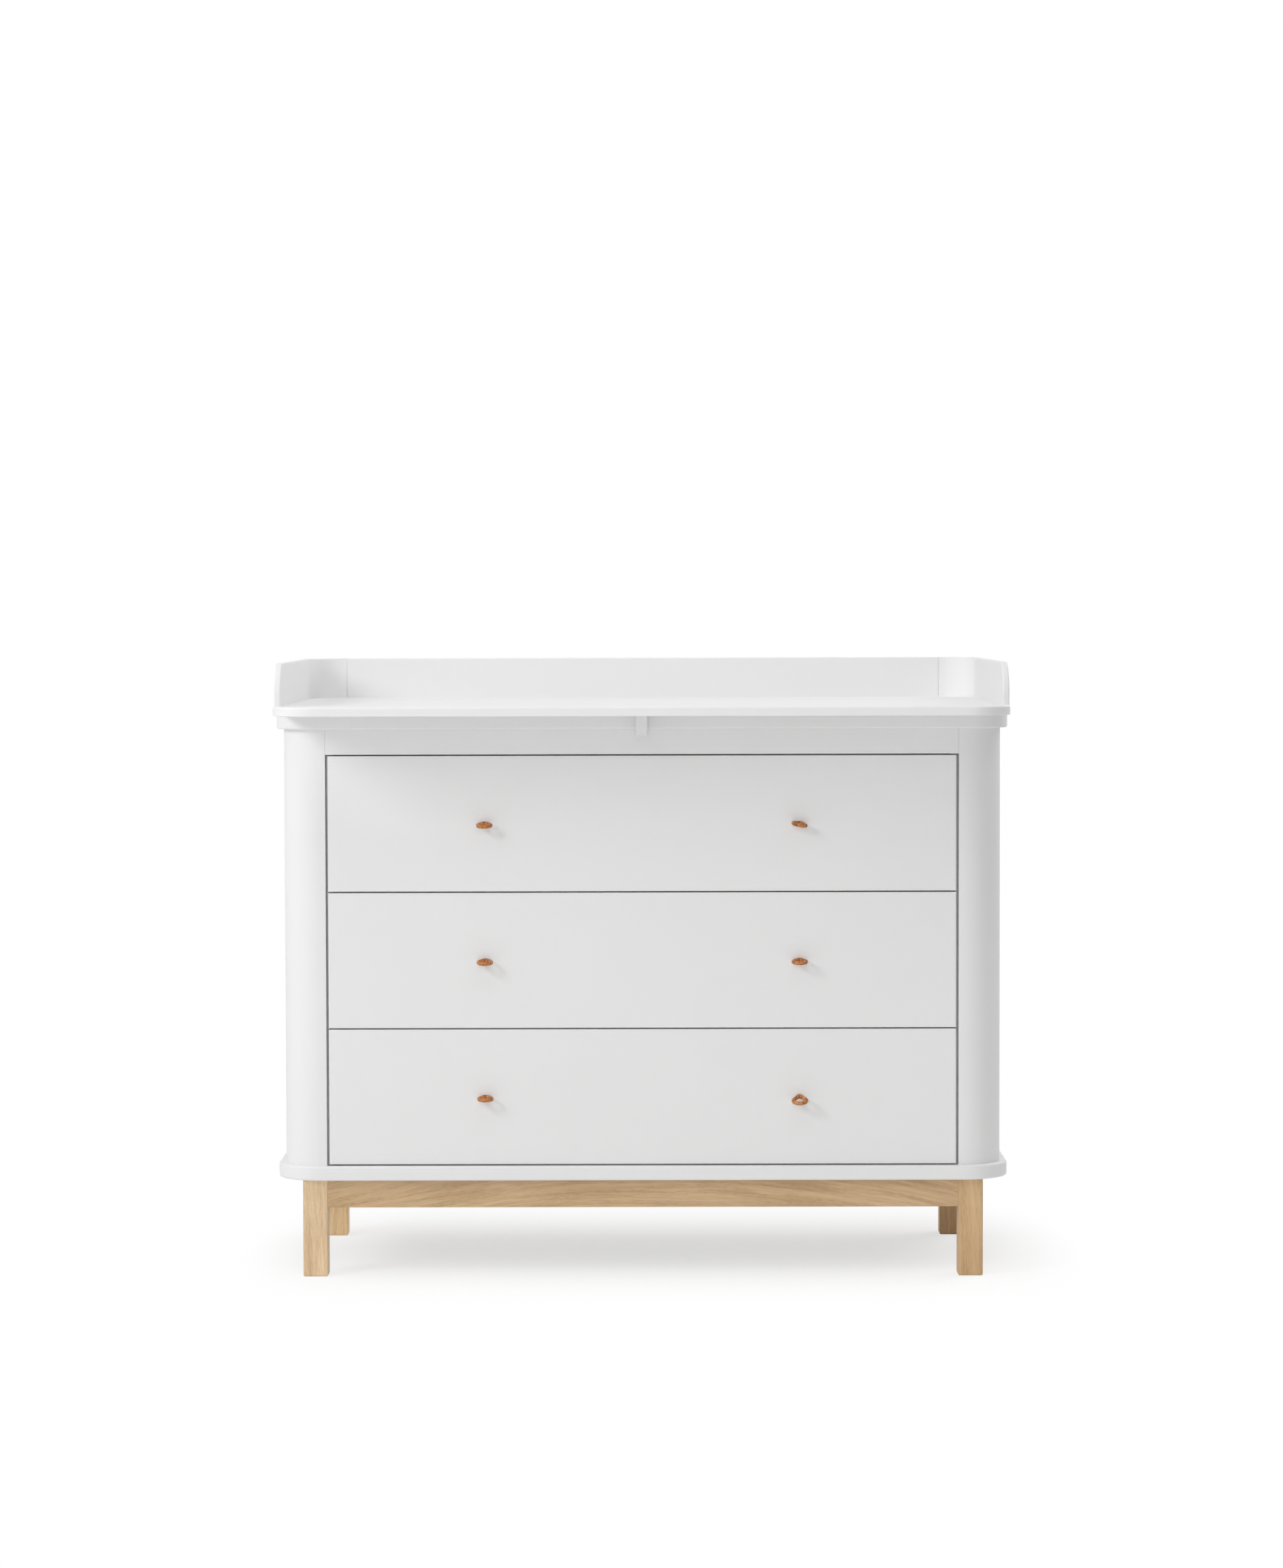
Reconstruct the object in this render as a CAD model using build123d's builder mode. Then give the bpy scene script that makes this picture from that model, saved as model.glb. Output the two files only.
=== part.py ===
from build123d import *
import os

# Changing table: a dresser with three drawers on an oak base, and a changing top that lifts off it.
# Sizes are in millimetres. +Z is up, the drawers face -Y, left and right are as seen from the front.
# The origin is on the floor, under the middle of the whole.

# Whole object
dresser_width = 1132.0
dresser_depth = 500.0
changing_depth = 665.0

# Oak base
leg_height = 150.0
leg_size = 38.0
leg_ease = 2.0
foot_chamfer = 1.5
base_side_inset = 41.0
base_front_inset = 12.0
base_back_inset = 43.0
apron_height = 43.0
apron_thickness = 20.0
apron_setback = 1.5
apron_ease = 1.0
tenon_length = 15.0
tenon_thickness = 8.0
tenon_shoulder = 6.0
tenon_clearance = 0.15
corner_block_reach = 45.0
corner_block_height = 28.0

# Screws and dowels
screw_radius = 2.0
screw_head_radius = 4.0
screw_clearance = 0.1
screw_point = 4.0
base_screw_length = 42.0
base_screw_reach = 16.0
base_screw_side = 4.0
dowel_radius = 4.0
dowel_length = 30.0
dowel_in_board = 13.0
dowel_clearance = 0.1
dowel_end_room = 0.5
dowel_margin = 60.0

# Carcass
plinth_thickness = 22.0
top_thickness = 24.0
board_reveal = 11.0
board_ease = 3.0
carcass_height = 674.0
post_width = 68.0
post_depth = 68.0
post_radius = 60.0
seam_ease = 1.0
stile_reach = 11.5
stile_room = 1.0
side_thickness = 18.0
back_thickness = 6.0
back_rabbet = 9.0
top_rail_height = 39.0
top_rail_thickness = 19.0
back_rail_height = 60.0
back_rail_thickness = 18.0
batten_height = 60.0

# Drawers
drawer_names = ("bottom", "middle", "top")
drawer_gap = 2.0
drawer_side_gap = 3.5
drawer_front_thickness = 19.0
drawer_front_ease = 1.5
drawer_side_thickness = 13.0
drawer_top_room = 37.0
drawer_side_lift = 22.0
drawer_rear_room = 11.0
drawer_bottom_thickness = 6.0
groove_depth = 6.0
groove_lift = 12.0
groove_clearance = 0.15

# Ball runners: the drawer member runs in the cabinet member on two rows of balls
runner_space = 12.7
runner_height = 35.0
runner_setback = 3.0
runner_lift = 60.0
runner_overlap = 115.0
runner_sheet = 1.2
runner_lip = 1.4
ball_radius = 1.9
ball_clearance = 0.4
ball_side_room = 0.1
balls_per_row = 4
ball_margin = 10.0
cage_sheet = 0.8
cage_end_room = 2.5

# Leather loop pulls: droop is how far the loop hangs below level, roll how far it leans to one side
pull_spacing = 484.0
cord_radius = 2.7
strand_offset = 2.2
ring_radius = 9.7
neck_radius = 5.0
neck_lead = 0.5
pull_hole_room = 0.6
knot_radius = 8.0
knot_length = 10.0
knot_round = 4.0
tail_length = 9.0
usual_droop = 12.0
slack_droop = 25.0
usual_roll = 0.0
twisted_roll = 12.0

# Changing top
changing_side_setback = 10.0
changing_thickness = 14.0
changing_ease = 3.0
changing_foot_ease = 1.5
changing_front_radius = 66.0
rim_height = 65.0
rim_thickness = 10.0
rim_inset = 1.0
rim_inner_radius = 56.0
rim_start_gap = 1.0
rim_nose_radius = 50.0
rim_ease = 2.0
rim_rabbet = 2.0
rim_joint_line = 0.4
rim_seam = 0.2
rim_screw_length = 40.0
rim_screw_margin = 60.0
rim_screws_per_piece = 3
stop_width = 18.0
stop_depth = 20.0
stop_drop = 12.0
stop_clearance = 0.3
stop_ease = 1.5
arch_width = 12.4
arch_rise = 3.0
stop_screw_length = 44.0

# Levels
plinth_top_z = leg_height + plinth_thickness
carcass_top_z = plinth_top_z + carcass_height
dresser_top_z = carcass_top_z + top_thickness
changing_top_z = dresser_top_z + changing_thickness

# Depths: the backs of the dresser and the changing top are in line
back_y = changing_depth / 2
changing_front_y = -changing_depth / 2
dresser_front_y = back_y - dresser_depth
carcass_front_y = dresser_front_y + board_reveal
post_back_y = carcass_front_y + post_depth
back_panel_y = back_y - back_thickness
base_front_y = dresser_front_y + base_front_inset
base_back_y = back_y - base_back_inset
base_middle_y = (base_front_y + base_back_y) / 2

# Widths, as distances from the middle
carcass_half = dresser_width / 2 - board_reveal
opening_half = carcass_half - post_width
stile_half = opening_half - stile_reach
side_inner_half = carcass_half - side_thickness
base_half = dresser_width / 2 - base_side_inset
leg_inner_half = base_half - leg_size
changing_half = dresser_width / 2 - changing_side_setback
box_half = stile_half - runner_space
box_inner_half = box_half - drawer_side_thickness

# Drawer heights: three fronts and four gaps fill the opening under the top rail
drawer_count = len(drawer_names)
opening_height = carcass_height - top_rail_height
drawer_front_height = (opening_height - (drawer_count + 1) * drawer_gap) / drawer_count
drawer_side_height = drawer_front_height - drawer_side_lift - drawer_top_room
drawer_front_half = opening_half - drawer_side_gap
drawer_pitch = drawer_front_height + drawer_gap
drawer_floors = [plinth_top_z + drawer_gap + i * drawer_pitch for i in range(drawer_count)]
drawer_inner_y = carcass_front_y + drawer_front_thickness
stile_front_y = drawer_inner_y + stile_room

# Runner lengths: each runner reaches from the drawer front to just short of the back panel
runner_front_y = drawer_inner_y + runner_setback
runner_back_y = back_panel_y - drawer_rear_room
runner_length = runner_back_y - runner_front_y
drawer_travel = runner_length - runner_overlap
runner_levels = [floor + drawer_side_lift + runner_lift for floor in drawer_floors]
print(f"drawer travel {drawer_travel:.1f}, front height {drawer_front_height:.1f}")


def keep(builder, name):
    """Label a finished piece and write it as one STEP file."""
    builder.part.label = name
    export_step(builder.part, f"parts/{name}.step")


def board_outline(half_width, front_y, front_radius):
    """Plan of a board with a straight back and two rounded front corners."""
    with BuildSketch() as outline:
        with Locations((0, (front_y + back_y) / 2)):
            Rectangle(2 * half_width, back_y - front_y)
        fillet(outline.vertices().group_by(Axis.Y)[0], front_radius)
    return outline.sketch


def countersunk_screw(length):
    """A wood screw pointing up, its flat head at the origin."""
    head_depth = screw_head_radius - screw_radius
    with BuildPart() as screw:
        with BuildSketch(Plane.XZ):
            Polygon(
                (0, 0),
                (screw_head_radius, 0),
                (screw_radius, head_depth),
                (screw_radius, length - screw_point),
                (0, length),
                align=None,
            )
        revolve(axis=Axis.Z)
    return screw.part


def screw_hole(length):
    """The room that a countersunk screw takes in the pieces it joins, its mouth at the origin."""
    with BuildPart() as room:
        head_room = screw_head_radius + screw_clearance
        Cone(
            head_room,
            screw_radius + screw_clearance,
            screw_head_radius - screw_radius,
            align=(Align.CENTER, Align.CENTER, Align.MIN),
        )
        Cylinder(
            screw_radius + screw_clearance,
            length + screw_clearance,
            align=(Align.CENTER, Align.CENTER, Align.MIN),
        )
    return room.part


def cord_knot():
    """The rounded lump that the two ends of a cord make where they are tied, its seat at the origin."""
    with BuildPart() as knot:
        with BuildSketch(Plane.XZ):
            Circle(knot_radius)
        extrude(amount=-knot_length)
        fillet(knot.edges().filter_by(GeomType.CIRCLE), knot_round)
    return knot.part


os.makedirs("parts", exist_ok=True)

# Oak legs: square posts with eased edges, mortised on their two inner faces for the aprons
apron_line_x = base_half - apron_setback - apron_thickness / 2
apron_line_y = (base_back_y - base_front_y) / 2 - apron_setback - apron_thickness / 2
apron_z = leg_height - apron_height / 2
tenon_height = apron_height - 2 * tenon_shoulder
mortise_thickness = tenon_thickness + 2 * tenon_clearance
mortise_height = tenon_height + 2 * tenon_clearance
mortise_depth = tenon_length + tenon_clearance
leg_inner_y = (base_back_y - base_front_y) / 2 - leg_size

for row, row_sign in (("front", -1), ("back", 1)):
    for side, side_sign in (("left", -1), ("right", 1)):
        leg_x = side_sign * (base_half - leg_size / 2)
        leg_y = base_middle_y + row_sign * (leg_inner_y + leg_size / 2)
        long_mortise_x = side_sign * (leg_inner_half + mortise_depth / 2)
        long_mortise_y = base_middle_y + row_sign * apron_line_y
        short_mortise_x = side_sign * apron_line_x
        short_mortise_y = base_middle_y + row_sign * (leg_inner_y + mortise_depth / 2)
        with BuildPart() as leg:
            with Locations((leg_x, leg_y, 0)):
                Box(leg_size, leg_size, leg_height, align=(Align.CENTER, Align.CENTER, Align.MIN))
            fillet(leg.edges().filter_by(Axis.Z), leg_ease)
            chamfer(leg.faces().sort_by(Axis.Z)[0].edges(), foot_chamfer)
            with Locations((long_mortise_x, long_mortise_y, apron_z)):
                Box(mortise_depth, mortise_thickness, mortise_height, mode=Mode.SUBTRACT)
            with Locations((short_mortise_x, short_mortise_y, apron_z)):
                Box(mortise_thickness, mortise_depth, mortise_height, mode=Mode.SUBTRACT)
        keep(leg, f"leg_{row}_{side}")

# Oak aprons: rails between the legs, just behind the legs' faces, with a tenon at each end
for row, row_sign in (("front", -1), ("back", 1)):
    with BuildPart() as apron:
        with Locations((0, base_middle_y + row_sign * apron_line_y, apron_z)):
            Box(2 * leg_inner_half, apron_thickness, apron_height)
            fillet(apron.edges().filter_by(Axis.X).group_by(Axis.Z)[0], apron_ease)
            Box(2 * (leg_inner_half + tenon_length), tenon_thickness, tenon_height)
    keep(apron, f"apron_{row}")

for side, side_sign in (("left", -1), ("right", 1)):
    with BuildPart() as apron:
        with Locations((side_sign * apron_line_x, base_middle_y, apron_z)):
            Box(apron_thickness, 2 * leg_inner_y, apron_height)
            fillet(apron.edges().filter_by(Axis.Y).group_by(Axis.Z)[0], apron_ease)
            Box(tenon_thickness, 2 * (leg_inner_y + tenon_length), tenon_height)
    keep(apron, f"apron_{side}")

# Corner blocks: each fills the corner behind two aprons, round the leg's inner corner
leg_corner_x = leg_inner_half
leg_corner_y = base_middle_y + leg_inner_y
side_apron_x = base_half - apron_setback - apron_thickness
back_apron_y = base_back_y - apron_setback - apron_thickness
block_base_z = leg_height - corner_block_height
base_screw_points = (
    (leg_corner_x - base_screw_reach, leg_corner_y + base_screw_side, block_base_z),
    (leg_corner_x + base_screw_side, leg_corner_y - base_screw_reach, block_base_z),
)
middle_plane = Plane.XZ.offset(-base_middle_y)

with BuildPart() as base_corner_blocks:
    with BuildSketch(Plane.XY.offset(block_base_z)):
        Polygon(
            (leg_corner_x, leg_corner_y),
            (leg_corner_x, back_apron_y),
            (leg_corner_x - corner_block_reach, back_apron_y),
            (side_apron_x, leg_corner_y - corner_block_reach),
            (side_apron_x, leg_corner_y),
            align=None,
        )
    extrude(amount=corner_block_height)
    with Locations(*base_screw_points):
        add(screw_hole(base_screw_length), mode=Mode.SUBTRACT)
    mirror(about=Plane.YZ)
    mirror(about=middle_plane)
keep(base_corner_blocks, "base_corner_blocks")

with BuildPart() as base_screws:
    with Locations(*base_screw_points):
        add(countersunk_screw(base_screw_length))
    mirror(about=Plane.YZ)
    mirror(about=middle_plane)
keep(base_screws, "base_screws")

# Bottom and top boards: the same plan, dowelled to the posts and sides between them
post_middle = (carcass_half - post_width / 2, carcass_front_y + post_depth / 2)
side_line_x = carcass_half - side_thickness / 2
side_dowels = [(side_line_x, post_back_y + dowel_margin), (side_line_x, back_y - dowel_margin)]
dowel_plan = [(sign * x, y) for x, y in [post_middle] + side_dowels for sign in (-1, 1)]
dowel_hole_radius = dowel_radius + dowel_clearance
board_hole_depth = dowel_in_board + dowel_end_room
side_hole_depth = dowel_length - dowel_in_board + dowel_end_room
board_radius = post_radius + board_reveal

with BuildPart() as base_screw_room:
    with Locations(*base_screw_points):
        add(screw_hole(base_screw_length))
    mirror(about=Plane.YZ)
    mirror(about=middle_plane)

with BuildPart() as plinth_board:
    with BuildSketch(Plane.XY.offset(leg_height)):
        add(board_outline(dresser_width / 2, dresser_front_y, board_radius))
    extrude(amount=plinth_thickness)
    fillet(plinth_board.faces().filter_by(Axis.Z).edges(), board_ease)
    with Locations(*[(x, y, plinth_top_z) for x, y in dowel_plan]):
        Hole(dowel_hole_radius, board_hole_depth)
    add(base_screw_room.part, mode=Mode.SUBTRACT)
keep(plinth_board, "plinth_board")

with BuildPart() as dresser_top:
    with BuildSketch(Plane.XY.offset(carcass_top_z)):
        add(board_outline(dresser_width / 2, dresser_front_y, board_radius))
    extrude(amount=top_thickness)
    fillet(dresser_top.faces().filter_by(Axis.Z).edges(), board_ease)
    with Locations(*[(x, y, carcass_top_z) for x, y in dowel_plan]):
        Hole(dowel_hole_radius, board_hole_depth)
keep(dresser_top, "dresser_top")

with BuildPart() as carcass_dowels:
    with Locations(*[(x, y, plinth_top_z - dowel_in_board) for x, y in dowel_plan]):
        Cylinder(dowel_radius, dowel_length, align=(Align.CENTER, Align.CENTER, Align.MIN))
    with Locations(*[(x, y, carcass_top_z + dowel_in_board) for x, y in dowel_plan]):
        Cylinder(dowel_radius, dowel_length, align=(Align.CENTER, Align.CENTER, Align.MAX))
keep(carcass_dowels, "carcass_dowels")

# Front posts: quarter-round columns, with a short flat beside the drawers
with BuildPart() as post_right:
    with BuildSketch(Plane.XY.offset(plinth_top_z)) as post_plan:
        with Locations(post_middle):
            Rectangle(post_width, post_depth)
        front_corners = post_plan.vertices().group_by(Axis.Y)[0].sort_by(Axis.X)
        fillet(front_corners[1], post_radius)
        fillet(post_plan.vertices().group_by(Axis.Y)[0].sort_by(Axis.X)[0], seam_ease)
    extrude(amount=carcass_height)
    with Locations((*post_middle, plinth_top_z), (*post_middle, carcass_top_z)):
        Hole(dowel_hole_radius, side_hole_depth)
keep(post_right, "post_right")

with BuildPart() as post_left:
    mirror(post_right.part, about=Plane.YZ)
keep(post_left, "post_left")

# Stiles: narrow boards glued to the posts, which close the side gaps behind the drawer fronts
with BuildPart() as front_stile_right:
    with Locations((stile_half, stile_front_y, plinth_top_z)):
        Box(stile_reach, post_back_y - stile_front_y, carcass_height, align=Align.MIN)
keep(front_stile_right, "front_stile_right")

with BuildPart() as front_stile_left:
    mirror(front_stile_right.part, about=Plane.YZ)
keep(front_stile_left, "front_stile_left")

# Side panels: behind the posts and flush with them, rabbeted at the back for the back panel
with BuildPart() as side_panel_right:
    with Locations((side_inner_half, post_back_y, plinth_top_z)):
        Box(side_thickness, back_y - post_back_y, carcass_height, align=Align.MIN)
    with Locations((side_inner_half, back_panel_y, plinth_top_z)):
        Box(back_rabbet, back_thickness, carcass_height, align=Align.MIN, mode=Mode.SUBTRACT)
    with Locations(*[(x, y, z) for x, y in side_dowels for z in (plinth_top_z, carcass_top_z)]):
        Hole(dowel_hole_radius, side_hole_depth)
keep(side_panel_right, "side_panel_right")

with BuildPart() as side_panel_left:
    mirror(side_panel_right.part, about=Plane.YZ)
keep(side_panel_left, "side_panel_left")

with BuildPart() as back_panel:
    with Locations((0, back_panel_y, plinth_top_z)):
        Box(
            2 * (side_inner_half + back_rabbet),
            back_thickness,
            carcass_height,
            align=(Align.CENTER, Align.MIN, Align.MIN),
        )
keep(back_panel, "back_panel")

# Rails under the top board: the front one shows between the posts, the back one backs the panel
with BuildPart() as top_rail:
    with Locations((0, carcass_front_y, carcass_top_z)):
        Box(
            2 * opening_half,
            top_rail_thickness,
            top_rail_height,
            align=(Align.CENTER, Align.MIN, Align.MAX),
        )
    front_edges = top_rail.faces().sort_by(Axis.Y)[0].edges()
    fillet(front_edges.filter_by(Axis.Z) + front_edges.sort_by(Axis.Z)[:1], seam_ease)
keep(top_rail, "top_rail")

with BuildPart() as back_rail:
    with Locations((0, back_panel_y, carcass_top_z)):
        Box(
            2 * side_inner_half,
            back_rail_thickness,
            back_rail_height,
            align=(Align.CENTER, Align.MAX, Align.MAX),
        )
keep(back_rail, "back_rail")

# Runner battens: one behind each post for each drawer, flush with the stile
batten_points = [((stile_half + side_inner_half) / 2, post_back_y, z) for z in runner_levels]
with BuildPart() as runner_battens_right:
    with Locations(*batten_points):
        Box(
            side_inner_half - stile_half,
            back_panel_y - post_back_y,
            batten_height,
            align=(Align.CENTER, Align.MIN, Align.CENTER),
        )
keep(runner_battens_right, "runner_battens_right")

with BuildPart() as runner_battens_left:
    mirror(runner_battens_right.part, about=Plane.YZ)
keep(runner_battens_left, "runner_battens_left")

# Ball runners: both members are lipped channels, and the balls run between their flanges
ball_x = stile_half - runner_space / 2
ball_drop = runner_height / 2 - runner_sheet - ball_clearance - ball_radius
lip_reach = ball_radius + ball_side_room
cabinet_mouth_x = ball_x - lip_reach - runner_sheet
drawer_mouth_x = ball_x + lip_reach + runner_sheet
drawer_member_height = 2 * (ball_drop - ball_radius - ball_clearance)
cage_web_x = (stile_half - runner_sheet + drawer_mouth_x) / 2
cage_tip_x = ball_x - ball_radius
cage_length = runner_overlap - 2 * cage_end_room
cage_front_y = runner_front_y + drawer_travel / 2 + cage_end_room
ball_row = cage_length - 2 * ball_margin
ball_step = ball_row / (balls_per_row - 1)
runner_back_plane = Plane.XZ.offset(-runner_back_y)
cage_back_plane = Plane.XZ.offset(-cage_front_y - cage_length)

for name, level in zip(drawer_names, runner_levels):
    with BuildPart() as cabinet_members:
        with BuildSketch(runner_back_plane):
            with Locations((cabinet_mouth_x, level)):
                low_centre = (Align.MIN, Align.CENTER)
                Rectangle(stile_half - cabinet_mouth_x, runner_height, align=low_centre)
                mouth_height = runner_height - 2 * runner_sheet - 2 * runner_lip
                Rectangle(runner_sheet, mouth_height, align=low_centre, mode=Mode.SUBTRACT)
            with Locations((cabinet_mouth_x + runner_sheet, level)):
                Rectangle(
                    stile_half - cabinet_mouth_x - 2 * runner_sheet,
                    runner_height - 2 * runner_sheet,
                    align=low_centre,
                    mode=Mode.SUBTRACT,
                )
        extrude(amount=runner_length)
        mirror(about=Plane.YZ)
    keep(cabinet_members, f"runner_cabinet_{name}")

    with BuildPart() as drawer_members:
        with BuildSketch(runner_back_plane):
            with Locations((box_half, level)):
                Rectangle(drawer_mouth_x - box_half, drawer_member_height, align=low_centre)
            with Locations((drawer_mouth_x, level)):
                lipped_height = drawer_member_height + 2 * runner_lip
                Rectangle(runner_sheet, lipped_height, align=(Align.MAX, Align.CENTER))
            with Locations((box_half + runner_sheet, level)):
                Rectangle(
                    drawer_mouth_x - box_half - runner_sheet,
                    drawer_member_height - 2 * runner_sheet,
                    align=low_centre,
                    mode=Mode.SUBTRACT,
                )
        extrude(amount=runner_length)
        mirror(about=Plane.YZ)
    keep(drawer_members, f"runner_drawer_{name}")

    ball_points = [
        (ball_x, cage_front_y + ball_margin + i * ball_step, level + sign * ball_drop)
        for i in range(balls_per_row)
        for sign in (-1, 1)
    ]
    with BuildPart() as cages:
        with BuildSketch(cage_back_plane):
            with Locations((cage_tip_x, level)):
                cage_width = cage_web_x + cage_sheet / 2 - cage_tip_x
                Rectangle(cage_width, 2 * ball_drop + cage_sheet, align=low_centre)
                Rectangle(
                    cage_width - cage_sheet,
                    2 * ball_drop - cage_sheet,
                    align=low_centre,
                    mode=Mode.SUBTRACT,
                )
        extrude(amount=cage_length)
        with Locations(*ball_points):
            Sphere(ball_radius)
        mirror(about=Plane.YZ)
    keep(cages, f"runner_cage_{name}")

# Drawer boxes: the bottom slides in grooves in the front and sides, under the back, and an oval
# hole in the front takes both strands of each pull
pull_hole_width = 2 * (strand_offset + cord_radius + pull_hole_room)
pull_hole_height = 2 * (cord_radius + pull_hole_room)
groove_height = drawer_bottom_thickness + 2 * groove_clearance
side_length = runner_back_y - drawer_inner_y
panel_half = box_inner_half + groove_depth - groove_clearance

for name, floor in zip(drawer_names, drawer_floors):
    side_z = floor + drawer_side_lift
    groove_z = side_z + groove_lift
    pull_z = floor + drawer_front_height / 2
    pull_points = [(sign * pull_spacing / 2, pull_z) for sign in (-1, 1)]

    with BuildPart() as drawer_front:
        with Locations((0, carcass_front_y, floor)):
            Box(
                2 * drawer_front_half,
                drawer_front_thickness,
                drawer_front_height,
                align=(Align.CENTER, Align.MIN, Align.MIN),
            )
        fillet(drawer_front.faces().sort_by(Axis.Y)[0].edges(), drawer_front_ease)
        with Locations((0, drawer_inner_y, groove_z)):
            Box(
                2 * (box_inner_half + groove_depth),
                groove_depth,
                groove_height,
                align=(Align.CENTER, Align.MAX, Align.MIN),
                mode=Mode.SUBTRACT,
            )
        with BuildSketch(Plane.XZ.offset(-drawer_inner_y)):
            with Locations(*pull_points):
                SlotOverall(pull_hole_width, pull_hole_height)
        extrude(amount=drawer_front_thickness, mode=Mode.SUBTRACT)
    keep(drawer_front, f"drawer_front_{name}")

    with BuildPart() as drawer_side_right:
        with Locations((box_inner_half, drawer_inner_y, side_z)):
            Box(drawer_side_thickness, side_length, drawer_side_height, align=Align.MIN)
        fillet(drawer_side_right.edges().filter_by(Axis.Y).group_by(Axis.Z)[-1], drawer_front_ease)
        with Locations((box_inner_half, drawer_inner_y, groove_z)):
            Box(groove_depth, side_length, groove_height, align=Align.MIN, mode=Mode.SUBTRACT)
    keep(drawer_side_right, f"drawer_side_right_{name}")

    with BuildPart() as drawer_side_left:
        mirror(drawer_side_right.part, about=Plane.YZ)
    keep(drawer_side_left, f"drawer_side_left_{name}")

    with BuildPart() as drawer_back:
        with Locations((0, runner_back_y, groove_z + groove_height - groove_clearance)):
            Box(
                2 * box_inner_half,
                drawer_side_thickness,
                drawer_side_height - groove_lift - groove_height + groove_clearance,
                align=(Align.CENTER, Align.MAX, Align.MIN),
            )
        fillet(drawer_back.edges().filter_by(Axis.X).group_by(Axis.Z)[-1], drawer_front_ease)
    keep(drawer_back, f"drawer_back_{name}")

    with BuildPart() as drawer_bottom:
        with Locations((0, runner_back_y, groove_z + groove_clearance)):
            Box(
                2 * panel_half,
                side_length + groove_depth - groove_clearance,
                drawer_bottom_thickness,
                align=(Align.CENTER, Align.MAX, Align.MIN),
            )
    keep(drawer_bottom, f"drawer_bottom_{name}")

    # Leather pulls: one cord bent into a ring, both ends through one hole and knotted behind
    for side, side_sign in (("left", -1), ("right", 1)):
        droop = slack_droop if (name, side) == ("bottom", "right") else usual_droop
        roll = twisted_roll if (name, side) == ("top", "right") else usual_roll
        pull_x = side_sign * pull_spacing / 2
        level_plane = Plane(
            origin=(pull_x, carcass_front_y, pull_z),
            x_dir=(1, 0, 0),
            z_dir=(0, 0, -1),
        )
        loop_plane = level_plane.rotated((droop, roll, 0))
        ring_reach = ((ring_radius + neck_radius) ** 2 - (strand_offset + neck_radius) ** 2) ** 0.5
        ring_y = neck_lead + ring_reach
        strand_points = [(pull_x + sign * strand_offset, pull_z) for sign in (-1, 1)]
        with BuildPart() as pull:
            with BuildLine(loop_plane) as half_loop:
                lead = Line((strand_offset, -neck_lead), (strand_offset, neck_lead))
                neck_centre = (strand_offset + neck_radius, neck_lead)
                share = neck_radius / (ring_radius + neck_radius)
                touch = (
                    neck_centre[0] * (1 - share),
                    neck_centre[1] + (ring_y - neck_centre[1]) * share,
                )
                neck = TangentArc(lead @ 1, touch, tangent=lead % 1)
                ring = TangentArc(neck @ 1, (0, ring_y + ring_radius), tangent=neck % 1)
            with BuildSketch(Plane(origin=half_loop.line @ 0, z_dir=half_loop.line % 0)):
                Circle(cord_radius)
            sweep()
            mirror(about=Plane(origin=loop_plane.origin, z_dir=loop_plane.x_dir))
            with BuildSketch(Plane.XZ.offset(-carcass_front_y)):
                with Locations(*strand_points):
                    Circle(cord_radius)
            extrude(amount=-(drawer_front_thickness + knot_length + tail_length))
            with Locations((pull_x, drawer_inner_y, pull_z)):
                add(cord_knot())
        keep(pull, f"pull_{side}_{name}")

# Changing board: rounded corners, with a shallow rabbet round its sides and back for the rims
rim_outer_half = changing_half - rim_inset
rim_inner_half = rim_outer_half - rim_thickness
rim_outer_y = back_y - rim_inset
rim_inner_y = rim_outer_y - rim_thickness
rim_outer_radius = rim_inner_radius + rim_thickness
rim_front_y = changing_front_y + changing_front_radius + rim_start_gap
rim_foot_z = changing_top_z - rim_rabbet
rim_corner_x = rim_outer_half - rim_outer_radius
rim_corner_y = rim_outer_y - rim_outer_radius
rim_line_x = rim_outer_half - rim_thickness / 2
rim_line_y = rim_outer_y - rim_thickness / 2

side_screw_start = rim_front_y + rim_screw_margin
side_screw_step = (rim_corner_y - side_screw_start) / (rim_screws_per_piece - 1)
side_screws = [(rim_line_x, side_screw_start + i * side_screw_step) for i in range(rim_screws_per_piece)]
back_screw_start = -rim_corner_x + rim_screw_margin
back_screw_step = -2 * back_screw_start / (rim_screws_per_piece - 1)
back_screws = [(back_screw_start + i * back_screw_step, rim_line_y) for i in range(rim_screws_per_piece)]
mirrored_screws = [(-x, y) for x, y in side_screws]
rim_screw_points = [(x, y, dresser_top_z) for x, y in side_screws + mirrored_screws + back_screws]

stop_y = dresser_front_y - stop_clearance - stop_depth / 2
stop_base_z = carcass_top_z - stop_drop
arch_radius = (arch_width**2 / 4 + arch_rise**2) / (2 * arch_rise)
stop_screw_z = stop_base_z + arch_rise
stop_screw_point = (0, stop_y, stop_screw_z)

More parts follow.
